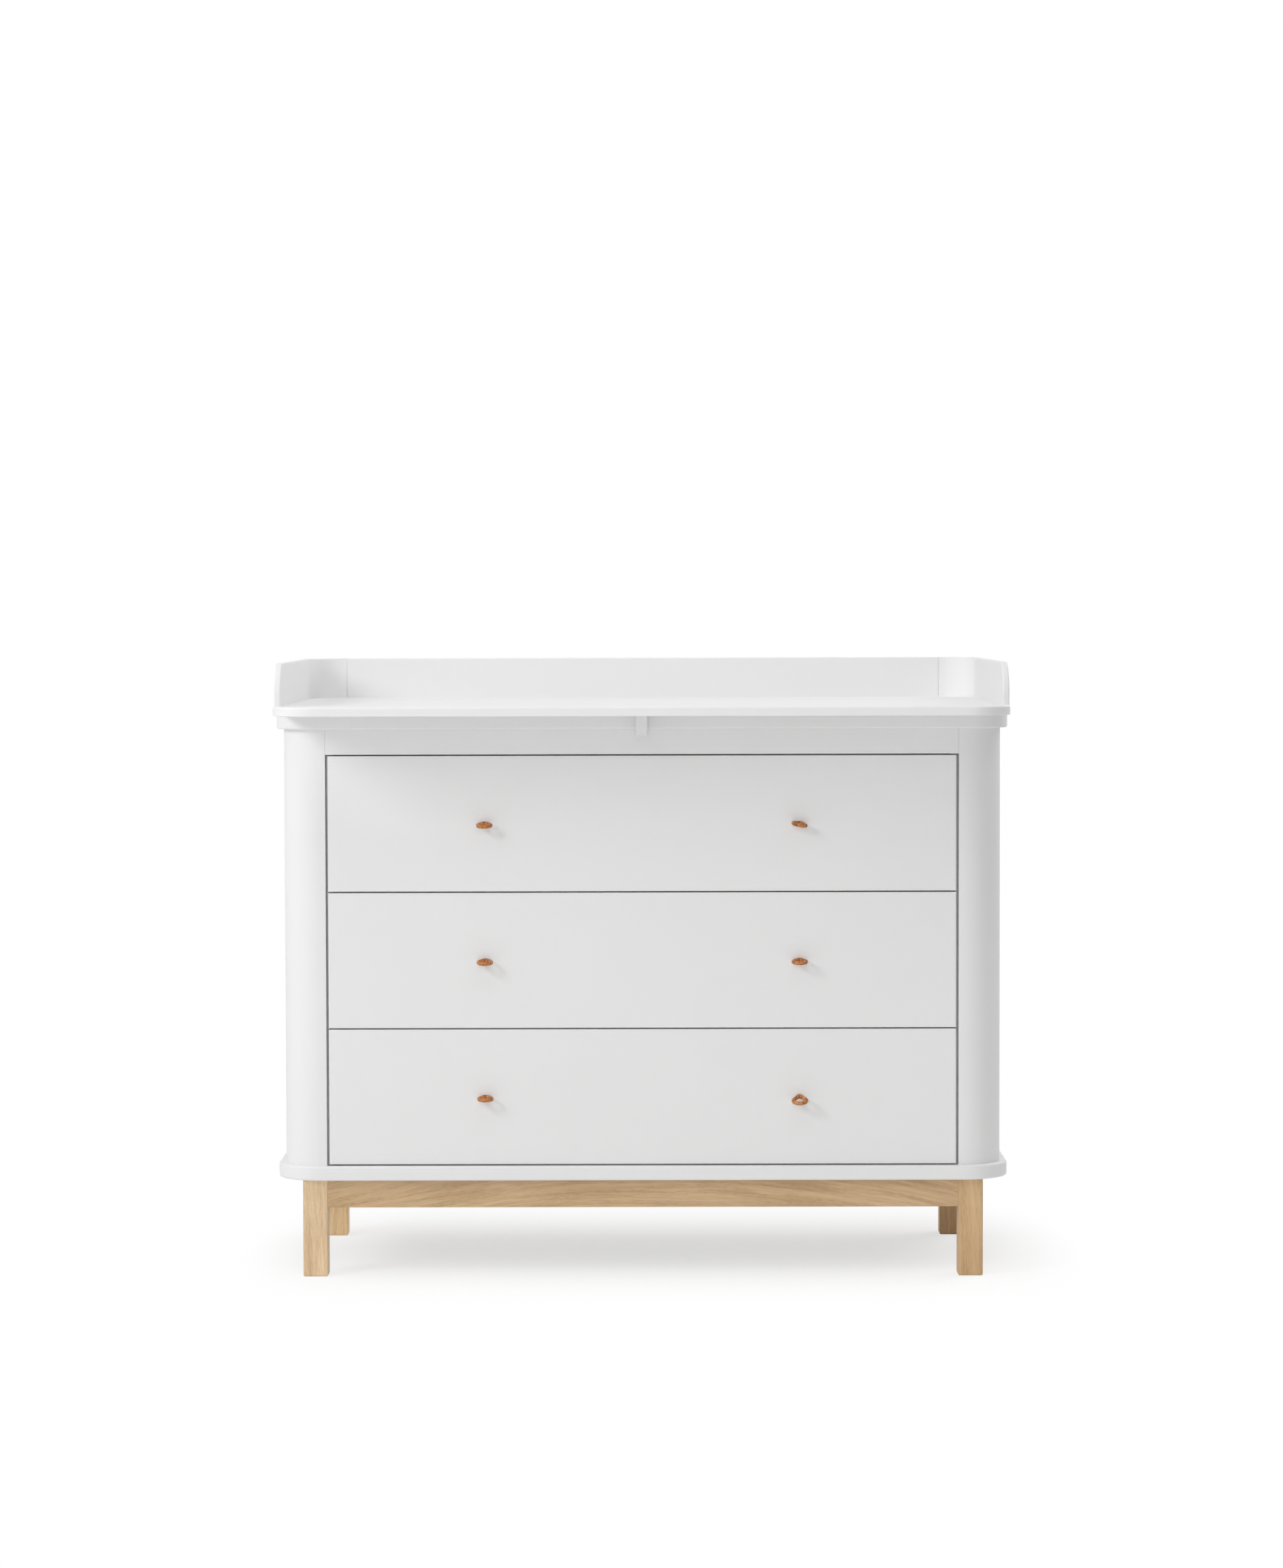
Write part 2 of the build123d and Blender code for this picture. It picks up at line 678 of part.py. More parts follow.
with BuildPart() as changing_board:
    with BuildSketch(Plane.XY.offset(dresser_top_z)) as changing_plan:
        add(board_outline(changing_half, changing_front_y, changing_front_radius))
        fillet(changing_plan.vertices().group_by(Axis.Y)[-1], rim_outer_radius + rim_inset)
    extrude(amount=changing_thickness)
    fillet(changing_board.faces().sort_by(Axis.Z)[-1].edges(), changing_ease)
    fillet(changing_board.faces().sort_by(Axis.Z)[0].edges(), changing_foot_ease)
    with BuildSketch(Plane.XY.offset(rim_foot_z)):
        with Locations((0, rim_front_y - rim_joint_line)):
            Rectangle(dresser_width + changing_depth, changing_depth, align=(Align.CENTER, Align.MIN))
        with BuildSketch(Plane.XY, mode=Mode.SUBTRACT) as tray_plan:
            with Locations((0, rim_inner_y - rim_joint_line)):
                tray_width = 2 * (rim_inner_half - rim_joint_line)
                Rectangle(tray_width, changing_depth, align=(Align.CENTER, Align.MAX))
            tray_corners = tray_plan.vertices().group_by(Axis.Y)[-1]
            fillet(tray_corners, rim_inner_radius - rim_joint_line)
    extrude(amount=changing_thickness, mode=Mode.SUBTRACT)
    with Locations(*rim_screw_points):
        add(screw_hole(rim_screw_length), mode=Mode.SUBTRACT)
    with Locations(stop_screw_point):
        add(screw_hole(stop_screw_length), mode=Mode.SUBTRACT)
keep(changing_board, "changing_board")

# Side rims: a straight wall bent round the back corner, its front end rounded back to the top
with BuildPart() as rim_right:
    with BuildSketch(Plane.XY.offset(rim_foot_z)):
        with BuildLine():
            corner = (rim_corner_x, rim_corner_y)
            Polyline(
                (rim_inner_half, rim_corner_y),
                (rim_inner_half, rim_front_y),
                (rim_outer_half, rim_front_y),
                (rim_outer_half, rim_corner_y),
            )
            CenterArc(corner, rim_outer_radius, 0, 90)
            Line((rim_corner_x, rim_outer_y), (rim_corner_x, rim_inner_y))
            CenterArc(corner, rim_inner_radius, 0, 90)
        make_face()
    extrude(amount=rim_rabbet + rim_height)
    fillet(rim_right.edges().filter_by(Axis.X).group_by(Axis.Y)[0].sort_by(Axis.Z)[-1], rim_nose_radius)
    fillet(rim_right.edges().filter_by(Axis.Y).group_by(Axis.Z)[-1], rim_ease)
    with Locations(*[(x, y, dresser_top_z) for x, y in side_screws]):
        add(screw_hole(rim_screw_length), mode=Mode.SUBTRACT)
keep(rim_right, "rim_right")

with BuildPart() as rim_left:
    mirror(rim_right.part, about=Plane.YZ)
keep(rim_left, "rim_left")

# Back rim: the straight length between the two bent ones
with BuildPart() as rim_back:
    with Locations((0, rim_line_y, rim_foot_z)):
        Box(
            2 * (rim_corner_x - rim_seam),
            rim_thickness,
            rim_rabbet + rim_height,
            align=(Align.CENTER, Align.CENTER, Align.MIN),
        )
    fillet(rim_back.edges().filter_by(Axis.X).group_by(Axis.Z)[-1], rim_ease)
    with Locations(*[(x, y, dresser_top_z) for x, y in back_screws]):
        add(screw_hole(rim_screw_length), mode=Mode.SUBTRACT)
keep(rim_back, "rim_back")

# Stop block: hangs from the overhang against the dresser's front edge, arched under its screw
with BuildPart() as front_stop_block:
    with Locations((0, stop_y, stop_base_z)):
        Box(
            stop_width,
            stop_depth,
            dresser_top_z - stop_base_z,
            align=(Align.CENTER, Align.CENTER, Align.MIN),
        )
    fillet(front_stop_block.edges().filter_by(Axis.Z), stop_ease)
    with BuildSketch(Plane.XZ.offset(-stop_y)):
        with Locations((0, stop_base_z + arch_rise - arch_radius)):
            Circle(arch_radius)
    extrude(amount=stop_depth, both=True, mode=Mode.SUBTRACT)
    with Locations(stop_screw_point):
        add(screw_hole(stop_screw_length), mode=Mode.SUBTRACT)
keep(front_stop_block, "front_stop_block")

with BuildPart() as changing_top_screws:
    with Locations(*rim_screw_points):
        add(countersunk_screw(rim_screw_length))
    with Locations(stop_screw_point):
        add(countersunk_screw(stop_screw_length))
keep(changing_top_screws, "changing_top_screws")
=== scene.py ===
from math import cos, pi, radians, sin

import bmesh
import bpy
from mathutils import Matrix, Vector


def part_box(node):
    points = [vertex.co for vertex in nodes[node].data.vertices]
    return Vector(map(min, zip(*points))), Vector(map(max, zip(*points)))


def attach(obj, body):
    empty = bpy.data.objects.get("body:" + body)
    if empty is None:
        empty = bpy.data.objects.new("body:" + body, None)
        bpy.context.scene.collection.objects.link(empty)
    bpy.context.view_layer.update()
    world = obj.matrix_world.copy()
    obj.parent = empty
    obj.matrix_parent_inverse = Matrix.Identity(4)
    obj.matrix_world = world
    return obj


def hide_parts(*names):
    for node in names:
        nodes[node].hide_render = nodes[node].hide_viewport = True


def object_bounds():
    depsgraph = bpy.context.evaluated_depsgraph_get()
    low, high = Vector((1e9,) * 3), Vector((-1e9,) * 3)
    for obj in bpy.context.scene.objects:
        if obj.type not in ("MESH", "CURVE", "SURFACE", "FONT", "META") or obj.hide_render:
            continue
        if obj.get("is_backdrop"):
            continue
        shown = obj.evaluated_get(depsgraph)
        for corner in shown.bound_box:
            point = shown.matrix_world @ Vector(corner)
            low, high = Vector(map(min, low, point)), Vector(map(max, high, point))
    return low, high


# Changing table: a white lacquered dresser on an oak base, with a changing top laid on it.
# Lengths are in metres, and the pieces take their places from the solids of the frame.
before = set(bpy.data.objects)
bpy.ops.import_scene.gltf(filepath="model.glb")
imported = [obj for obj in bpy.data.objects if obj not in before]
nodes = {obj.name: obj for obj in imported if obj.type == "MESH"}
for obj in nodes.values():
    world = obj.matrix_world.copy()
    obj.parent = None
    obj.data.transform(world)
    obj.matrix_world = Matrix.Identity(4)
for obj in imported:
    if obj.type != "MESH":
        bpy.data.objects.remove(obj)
cad_low, cad_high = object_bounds()
bpy.ops.object.select_all(action="DESELECT")

# Oak legs
# Square posts of solid oak with eased edges, oiled and left matt. The grain runs up the leg, with
# the pores of each year in fine dark bands. Each leg's tone holds painted light and shade: the left
# legs are lightened as if lit, and the back right leg is darkened as if in shade.
OAK = {
    "light": (0.70, 0.49, 0.28),
    "dark": (0.49, 0.315, 0.16),
    "pore": (0.38, 0.22, 0.10),
    "pore_share": 0.45,
}
# Painted light and shade: tones that lighten the front left and back left legs as if lit, and darken the
# back right leg as if shaded
LEG_PAINTED_LIGHT_TONES = {
    "front_left": (1.27, 1.38, 1.57),
    "front_right": (0.98, 0.96, 0.93),
    "back_left": (1.48, 1.55, 1.58),
    "back_right": (0.88, 0.80, 0.72),
}
LEG_ARCH = 0.3
BANDS = {"scale": 170.0, "draw": 0.035, "detail": 2.0}
FIBRES = {"scale": 560.0, "draw": 0.06, "roughness": 0.6}
PORES = {"scale": 1400.0, "draw": 0.08, "detail": 1.0}
CLOUD = {"scale": 20.0, "draw": 0.3, "detail": 1.0}
SWAY = {"scale": 22.0, "draw": 0.25, "across": 0.6, "detail": 1.0}
MEANDER = 0.012
FIBRE_SHARE = 0.5
CLOUD_SHARE = 0.2
YEAR_SPAN = (0.36, 0.62)
PORE_SPAN = (0.54, 0.66)
BAND_SPAN = (0.42, 0.58)
BARE_BAND_SHARE = 0.15
OILED_ROUGHNESS = (0.66, 0.48)
PORE_DEPTH = 0.00012


def start_material(name):
    """A new material with its shader and the place of each point on the piece."""
    material = bpy.data.materials.new(name)
    material.use_nodes = True
    tree = material.node_tree
    coordinates = tree.nodes.new("ShaderNodeTexCoord")
    return material, tree, tree.nodes["Principled BSDF"], coordinates.outputs["Object"]


def feed(tree, target, value):
    """Link a socket to an input, or set the input to a plain value."""
    if isinstance(value, bpy.types.NodeSocket):
        tree.links.new(value, target)
    else:
        target.default_value = value


def noise(tree, place, scale, detail=4.0, roughness=0.5):
    """A cloudy value between 0 and 1."""
    node = tree.nodes.new("ShaderNodeTexNoise")
    node.inputs["Scale"].default_value = scale
    node.inputs["Detail"].default_value = detail
    node.inputs["Roughness"].default_value = roughness
    tree.links.new(place, node.inputs["Vector"])
    return node.outputs["Fac"]


def drawn_noise(tree, place, grain_axis, scale, draw, across=1.0, **look):
    """Noise that is drawn out along the grain."""
    mapping = tree.nodes.new("ShaderNodeMapping")
    mapping.inputs["Scale"].default_value = [draw if axis == grain_axis else across for axis in "XYZ"]
    tree.links.new(place, mapping.inputs["Vector"])
    return noise(tree, mapping.outputs["Vector"], scale, **look)


def grey(level):
    """A colour with the same level in each channel."""
    return (level, level, level, 1)


def toned(colour, tone):
    """A colour with each channel made lighter or darker."""
    return tuple(channel * share for channel, share in zip(colour, tone)) + (1,)


def ramp(tree, factor, span, first, second):
    """A colour that goes from the first to the second over a span of the factor."""
    node = tree.nodes.new("ShaderNodeValToRGB")
    for element, position, colour in zip(node.color_ramp.elements, span, (first, second)):
        element.position = position
        element.color = colour
    tree.links.new(factor, node.inputs["Fac"])
    return node.outputs["Color"]


def mix(tree, factor, first, second, blend="MIX"):
    """Two colours mixed by a factor, each either a socket or a plain colour."""
    node = tree.nodes.new("ShaderNodeMix")
    node.data_type = "RGBA"
    node.blend_type = blend
    for socket, value in (("Factor_Float", factor), ("A_Color", first), ("B_Color", second)):
        feed(tree, next(i for i in node.inputs if i.identifier == socket), value)
    return next(o for o in node.outputs if o.identifier == "Result_Color")


def scaled(tree, factor, low, high):
    """A 0 to 1 value brought to the range from low to high."""
    node = tree.nodes.new("ShaderNodeMapRange")
    node.inputs["To Min"].default_value = low
    node.inputs["To Max"].default_value = high
    tree.links.new(factor, node.inputs["Value"])
    return node.outputs["Result"]


def calculated(tree, operation, *values):
    """One step of arithmetic on sockets and plain numbers."""
    node = tree.nodes.new("ShaderNodeMath")
    node.operation = operation
    for target, value in zip(node.inputs, values):
        feed(tree, target, value)
    return node.outputs[0]


def split(tree, place):
    """The X, Y and Z of a place."""
    node = tree.nodes.new("ShaderNodeSeparateXYZ")
    tree.links.new(place, node.inputs["Vector"])
    return node.outputs


def bumped(tree, shader, height, depth):
    """Give a surface a fine relief of this depth."""
    node = tree.nodes.new("ShaderNodeBump")
    node.inputs["Distance"].default_value = depth
    tree.links.new(height, node.inputs["Height"])
    tree.links.new(node.outputs["Normal"], shader.inputs["Normal"])


def arched(tree, place, grain_axis, arch):
    """The place, with the straight grain of a board bowed by an arch and a slow meander."""
    lift_axis = "X" if grain_axis == "Z" else "Z"
    parts = split(tree, place)
    run = parts[grain_axis]
    bow = calculated(tree, "MULTIPLY", calculated(tree, "MULTIPLY", run, run), arch)
    sway = drawn_noise(tree, place, grain_axis, **SWAY)
    lifted = calculated(tree, "ADD", parts[lift_axis], bow)
    lifted = calculated(tree, "MULTIPLY_ADD", sway, MEANDER, lifted)
    whole = tree.nodes.new("ShaderNodeCombineXYZ")
    for axis in "XYZ":
        tree.links.new(lifted if axis == lift_axis else parts[axis], whole.inputs[axis])
    return whole.outputs["Vector"]


def wood(name, grain_axis, light, dark, pore, pore_share, tone=(1, 1, 1), arch=0.0):
    """Oiled wood: year bands and fibres drawn out along the grain, with short pores in dark bands."""
    material, tree, shader, place = start_material(name)
    bowed = arched(tree, place, grain_axis, arch)
    bands = drawn_noise(tree, bowed, grain_axis, **BANDS)
    fibres = drawn_noise(tree, bowed, grain_axis, **FIBRES)
    pores = drawn_noise(tree, bowed, grain_axis, **PORES)
    cloud = drawn_noise(tree, place, grain_axis, **CLOUD)
    year = mix(tree, CLOUD_SHARE, mix(tree, FIBRE_SHARE, bands, fibres), cloud)
    # The tone lightens or darkens the whole piece; on the legs and aprons it carries painted light and
    # shade
    colour = ramp(tree, year, YEAR_SPAN, toned(dark, tone), toned(light, tone))
    open_pore = ramp(tree, pores, PORE_SPAN, grey(0), grey(pore_share))
    in_band = ramp(tree, bands, BAND_SPAN, grey(1), grey(BARE_BAND_SHARE))
    pore_mask = mix(tree, 1.0, open_pore, in_band, "MULTIPLY")
    colour = mix(tree, pore_mask, colour, toned(pore, tone))
    tree.links.new(colour, shader.inputs["Base Color"])
    tree.links.new(scaled(tree, fibres, *OILED_ROUGHNESS), shader.inputs["Roughness"])
    bumped(tree, shader, mix(tree, pore_mask, fibres, grey(0)), PORE_DEPTH)
    return material


def dress(material, *names):
    """Give solids of the frame their finish."""
    for name in names:
        nodes[name].data.materials.clear()
        nodes[name].data.materials.append(material)


for leg, tone in LEG_PAINTED_LIGHT_TONES.items():
    dress(wood(f"oak_leg_{leg}", "Z", **OAK, tone=tone, arch=LEG_ARCH), f"leg_{leg}")

# Oak aprons
# Rails of the same oak, tenoned into the legs. The grain runs along each rail, and its lines bow
# down towards both ends, as in a board cut from the side of the log.
# Painted shade: the aprons are darkened a little, as if shaded by the overhang of the bottom board above
# them
APRON_PAINTED_SHADE_TONE = (0.93, 0.93, 0.93)
LONG_APRON_ARCH = 0.26
SIDE_APRON_ARCH = 0.20
long_oak = wood("oak_along_front", "X", **OAK, tone=APRON_PAINTED_SHADE_TONE, arch=LONG_APRON_ARCH)
side_oak = wood("oak_along_side", "Y", **OAK, tone=APRON_PAINTED_SHADE_TONE, arch=SIDE_APRON_ARCH)
dress(long_oak, "apron_front", "apron_back")
dress(side_oak, "apron_left", "apron_right")

# Corner blocks and base screws
# Plain oak offcuts, glued into the corners of the base behind the aprons. Countersunk screws of
# zinc-plated steel go up through them into the bottom board.
STEEL_DULL = (0.54, 0.55, 0.58, 1)
STEEL_BRIGHT = (0.62, 0.63, 0.65, 1)
STEEL_SPAN = (0.3, 0.7)
STEEL_ROUGHNESS = (0.25, 0.45)
ROLLING_MARKS = {"scale": 1400.0, "draw": 0.04, "detail": 3.0}
ROLLING_DEPTH = 0.00003
SPANGLE = {"scale": 260.0, "detail": 2.0}
SPANGLE_SHARE = 0.5


def rolled_steel(name):
    """Zinc-plated strip steel, with faint rolling marks along Y."""
    material, tree, shader, place = start_material(name)
    streaks = drawn_noise(tree, place, "Y", **ROLLING_MARKS)
    tone = mix(tree, SPANGLE_SHARE, streaks, noise(tree, place, **SPANGLE))
    colour = ramp(tree, tone, STEEL_SPAN, STEEL_DULL, STEEL_BRIGHT)
    tree.links.new(colour, shader.inputs["Base Color"])
    shader.inputs["Metallic"].default_value = 1.0
    tree.links.new(scaled(tree, tone, *STEEL_ROUGHNESS), shader.inputs["Roughness"])
    bumped(tree, shader, streaks, ROLLING_DEPTH)
    return material


steel = rolled_steel("zinc_steel")
dress(side_oak, "base_corner_blocks")
dress(steel, "base_screws")

# Bottom board
# The board that the dresser stands on, wider than the carcass and rounded at its front corners.
# White satin lacquer is sprayed on, so up close it has a faint orange peel.
LACQUER_WHITE = grey(0.83)
LACQUER_SHADE = grey(0.81)
LACQUER_CLOUD = {"scale": 6.0, "detail": 3.0}
LACQUER_ROUGHNESS = (0.55, 0.63)
LACQUER_SHINE = 0.22
ORANGE_PEEL = {"scale": 700.0, "detail": 2.0}
PEEL_DEPTH = 0.00002
BOARD_CORNER = 0.071
BOARD_EASE = 0.003
CORNER_STEPS = 32
EDGE_STEPS = 4
SAME_PLACE = 1e-5
SMOOTH_ANGLE = 40


def satin_lacquer(name):
    """Sprayed satin lacquer: nearly even white, with a soft orange peel."""
    material, tree, shader, place = start_material(name)
    cloud = noise(tree, place, **LACQUER_CLOUD)
    peel = noise(tree, place, **ORANGE_PEEL)
    tree.links.new(mix(tree, cloud, LACQUER_WHITE, LACQUER_SHADE), shader.inputs["Base Color"])
    tree.links.new(scaled(tree, peel, *LACQUER_ROUGHNESS), shader.inputs["Roughness"])
    shader.inputs["Specular IOR Level"].default_value = LACQUER_SHINE
    bumped(tree, shader, peel, PEEL_DEPTH)
    return material


def block(name, low, high):
    """A plain block between two corners, with its place in its mesh."""
    bpy.ops.object.select_all(action="DESELECT")
    low, high = Vector(low), Vector(high)
    bpy.ops.mesh.primitive_cube_add(size=1.0, location=(low + high) / 2)
    piece = bpy.context.object
    piece.name = name
    piece.scale = high - low
    bpy.ops.object.transform_apply(location=True, rotation=True, scale=True)
    return piece


def round_edges(piece, chosen, radius, steps):
    """Round the edges that a test picks."""
    bpy.ops.object.mode_set(mode="EDIT")
    bpy.ops.mesh.select_mode(type="EDGE")
    bpy.ops.mesh.select_all(action="DESELECT")
    mesh = bmesh.from_edit_mesh(piece.data)
    picked = [edge for edge in mesh.edges if chosen(edge)]
    for edge in picked:
        edge.select_set(True)
    bmesh.update_edit_mesh(piece.data)
    bpy.ops.mesh.bevel(offset=radius, segments=steps, profile=0.5, affect="EDGES", clamp_overlap=False)
    bpy.ops.object.mode_set(mode="OBJECT")


def lies_on(edge, **place):
    """True if both ends of an edge have these coordinates."""
    offsets = [getattr(end.co, axis) - at for end in edge.verts for axis, at in place.items()]
    return all(abs(offset) < SAME_PLACE for offset in offsets)


def upright(edge):
    """True if one end of an edge is straight above the other."""
    first, second = (end.co for end in edge.verts)
    return (first - second).to_2d().length < SAME_PLACE


def smooth(piece):
    """Shade the rounded parts smoothly and keep the flats flat."""
    bpy.ops.object.select_all(action="DESELECT")
    piece.select_set(True)
    bpy.context.view_layer.objects.active = piece
    bpy.ops.object.shade_smooth_by_angle(angle=radians(SMOOTH_ANGLE))
    piece.modifiers.new("even shading", "WEIGHTED_NORMAL").keep_sharp = True
    bpy.ops.object.modifier_apply(modifier="even shading")


def finish_piece(piece, material, body, slot, *replaced):
    """Give a piece its finish, its body and the solids that it stands for."""
    piece.data.materials.clear()
    piece.data.materials.append(material)
    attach(piece, body)
    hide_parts(*replaced)


def front_corner_board(name, node):
    """A board of a solid's size, square at the back and rounded at the front, with eased edges."""
    low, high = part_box(node)
    board = block(name, low, high)
    round_edges(board, lambda edge: upright(edge) and lies_on(edge, y=low.y), BOARD_CORNER, CORNER_STEPS)
    for level in (low.z, high.z):
        round_edges(board, lambda edge: lies_on(edge, z=level), BOARD_EASE, EDGE_STEPS)
    smooth(board)
    return board


lacquer = satin_lacquer("white_satin_lacquer")
bottom_board = front_corner_board("bottom_board", "plinth_board")
finish_piece(bottom_board, lacquer, "carcass", "white_lacquer", "plinth_board")

# Front posts and stiles
# Quarter-round columns that carry the front of the dresser, lacquered with the sides. A narrow stile
# glued to each closes the gap behind the ends of the drawer fronts.
POST_RADIUS = 0.060
SEAM_EASE = 0.001
for side in ("left", "right"):
    low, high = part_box(f"post_{side}")
    outer_x, inner_x = (low.x, high.x) if side == "left" else (high.x, low.x)
    post = block(f"front_post_{side}", low, high)
    round_edges(post, lambda edge: lies_on(edge, x=outer_x, y=low.y), POST_RADIUS, CORNER_STEPS)
    round_edges(post, lambda edge: lies_on(edge, x=inner_x, y=low.y), SEAM_EASE, EDGE_STEPS)
    smooth(post)
    finish_piece(post, lacquer, "carcass", "white_lacquer", f"post_{side}")

dress(lacquer, "front_stile_left", "front_stile_right")

# Sides, back and rails
# Lacquered boards behind the posts, dowelled to the top and bottom boards. The thin back panel lies
# in the rabbets of the sides, and a rail at the front and one at the back brace the top.
dress(lacquer, "side_panel_left", "side_panel_right", "back_panel", "top_rail", "back_rail")

# Dowels and runner battens
# Beech dowels join the posts and the sides to the two boards. Birch plywood battens fill out the
# sides behind the posts and carry the runners.
BEECH = {
    "light": (0.72, 0.52, 0.36),
    "dark": (0.60, 0.41, 0.27),
    "pore": (0.42, 0.26, 0.16),
    "pore_share": 0.3,
}
BIRCH = {
    "light": (0.80, 0.66, 0.48),
    "dark": (0.71, 0.55, 0.38),
    "pore": (0.55, 0.38, 0.23),
    "pore_share": 0.2,
}
dress(wood("beech", "Z", **BEECH), "carcass_dowels")
dress(wood("birch_along_depth", "Y", **BIRCH), "runner_battens_left", "runner_battens_right")

# Ball runners
# Two channels of folded strip steel on each side of a drawer, one on the battens and one on the
# drawer's side, with a cage of steel balls that rolls between them.
levels = ("top", "middle", "bottom")
for level in levels:
    dress(steel, f"runner_cabinet_{level}", f"runner_drawer_{level}", f"runner_cage_{level}")

# Drawer boxes
# Sides, back and bottom of birch plywood, clear lacquered, behind a white front. The plies show in
# turns of light and dark on the edges, and the bottom slides in grooves.
BIRCH_END_GRAIN = (0.50, 0.345, 0.21, 1)
PLY_THICKNESS = 0.0015


def plywood(name, grain_axis, ply_axis, node):
    """Birch with its plies stacked through the thickness of a board, light at both faces."""
    material = wood(name, grain_axis, **BIRCH)
    tree = material.node_tree
    low, high = (getattr(corner, ply_axis.lower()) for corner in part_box(node))
    pairs = round((high - low) / 2 / PLY_THICKNESS)
    ply = (high - low) / (2 * pairs)
    parts = split(tree, tree.nodes.new("ShaderNodeTexCoord").outputs["Object"])
    depth = calculated(tree, "DIVIDE", calculated(tree, "SUBTRACT", parts[ply_axis], low), ply)
    turn = calculated(tree, "FLOORED_MODULO", calculated(tree, "ADD", depth, 0.5), 2.0)
    crosswise = calculated(tree, "GREATER_THAN", turn, 1.0)
    colour = tree.nodes["Principled BSDF"].inputs["Base Color"]
    tree.links.new(mix(tree, crosswise, colour.links[0].from_socket, BIRCH_END_GRAIN), colour)
    return material


ply_left = plywood("birch_ply_left", "Y", "X", "drawer_side_left_top")
ply_right = plywood("birch_ply_right", "Y", "X", "drawer_side_right_top")
ply_back = plywood("birch_ply_back", "X", "Y", "drawer_back_top")
birch_across = wood("birch_along_width", "X", **BIRCH)
for level in levels:
    dress(ply_left, f"drawer_side_left_{level}")
    dress(ply_right, f"drawer_side_right_{level}")
    dress(ply_back, f"drawer_back_{level}")
    dress(birch_across, f"drawer_bottom_{level}")
    dress(lacquer, f"drawer_front_{level}")

# Leather pulls
# One length of round cognac leather, bent into a loop: both ends go through one hole in the
# drawer front and are knotted behind it. Each loop hangs a little differently.
LEATHER_LIGHT = (0.66, 0.275, 0.085, 1)
LEATHER_DARK = (0.25, 0.077, 0.019, 1)
LEATHER_PATCHES = {"scale": 260.0, "roughness": 0.6}
LEATHER_SPAN = (0.36, 0.64)
LEATHER_ROUGHNESS = (0.30, 0.46)
LEATHER_SHINE = 0.35
LEATHER_GRAIN = {"scale": 1500.0, "detail": 3.0}
GRAIN_DEPTH = 0.00012
CORD_RADIUS = 0.00295
CORD_STEPS = 16
CORD_ROUND_STEPS = 10
CORD_SMOOTH_ANGLE = 50
PRESSED_SWELLING = 1.11
MERGE_REACH = 1e-6
STRAND_X = 0.0023
STRAND = ((STRAND_X, -0.037), (STRAND_X, -0.016), (STRAND_X, -0.003))
BEND_REACH = 0.0028
NECK = (0.0022, BEND_REACH)
ROUND_BOW = (NECK, (0.0063, 0.0042), (0.0107, 0.0111), (0.0088, 0.0186), (0.0037, 0.0221), (0, 0.0224))
PEAR_BOW = (NECK, (0.0049, 0.0067), (0.0106, 0.0128), (0.0097, 0.0199), (0.0038, 0.0234), (0, 0.0237))
WRAP_RADIUS = 0.0052
WRAP_TURNS = 1.4
WRAP_PITCH = 0.0052
WRAP_STEPS = 14
# The bow of each loop, and the degrees by which it droops and leans
HANGS = {
    "left_top": (ROUND_BOW, 10.5, 0),
    "right_top": (ROUND_BOW, 6.5, 11),
    "left_middle": (ROUND_BOW, 10.5, 0),
    "right_middle": (ROUND_BOW, 9.5, 0),
    "left_bottom": (ROUND_BOW, 8.5, 0),
    "right_bottom": (PEAR_BOW, 23, 0),
}


def grained_leather(name):
    """Waxed leather: a fine pebbled grain, with lighter and darker stretches."""
    material, tree, shader, place = start_material(name)
    patches = noise(tree, place, **LEATHER_PATCHES)
    grain = noise(tree, place, **LEATHER_GRAIN)
    colour = ramp(tree, patches, LEATHER_SPAN, LEATHER_DARK, LEATHER_LIGHT)
    tree.links.new(colour, shader.inputs["Base Color"])
    tree.links.new(scaled(tree, grain, *LEATHER_ROUGHNESS), shader.inputs["Roughness"])
    shader.inputs["Specular IOR Level"].default_value = LEATHER_SHINE
    bumped(tree, shader, grain, GRAIN_DEPTH)
    return material


def leather_cord(name, points, swelling):
    """A round cord along one smooth line, thicker where it is pressed, as a closed mesh."""
    bpy.ops.object.select_all(action="DESELECT")
    bpy.ops.curve.primitive_nurbs_path_add()
    cord = bpy.context.object
    cord.name = name
    line = cord.data.splines[0]
    line.points.add(len(points) - len(line.points))
    for point, place, radius in zip(line.points, points, swelling):
        point.co = (*place, 1.0)
        point.radius = radius
    line.order_u = 4
    line.use_endpoint_u = True
    line.resolution_u = CORD_STEPS
    cord.data.bevel_depth = CORD_RADIUS
    cord.data.bevel_resolution = CORD_ROUND_STEPS
    cord.data.use_fill_caps = True
    cord.location = (0, 0, 0)
    bpy.ops.object.convert(target="MESH")
    return bpy.context.object


def close_seams():
    """Merge the doubled points of the piece in hand and turn its faces outwards."""
    bpy.ops.object.mode_set(mode="EDIT")
    bpy.ops.mesh.select_all(action="SELECT")
    bpy.ops.mesh.remove_doubles(threshold=MERGE_REACH)
    bpy.ops.mesh.normals_make_consistent(inside=False)
    bpy.ops.object.mode_set(mode="OBJECT")


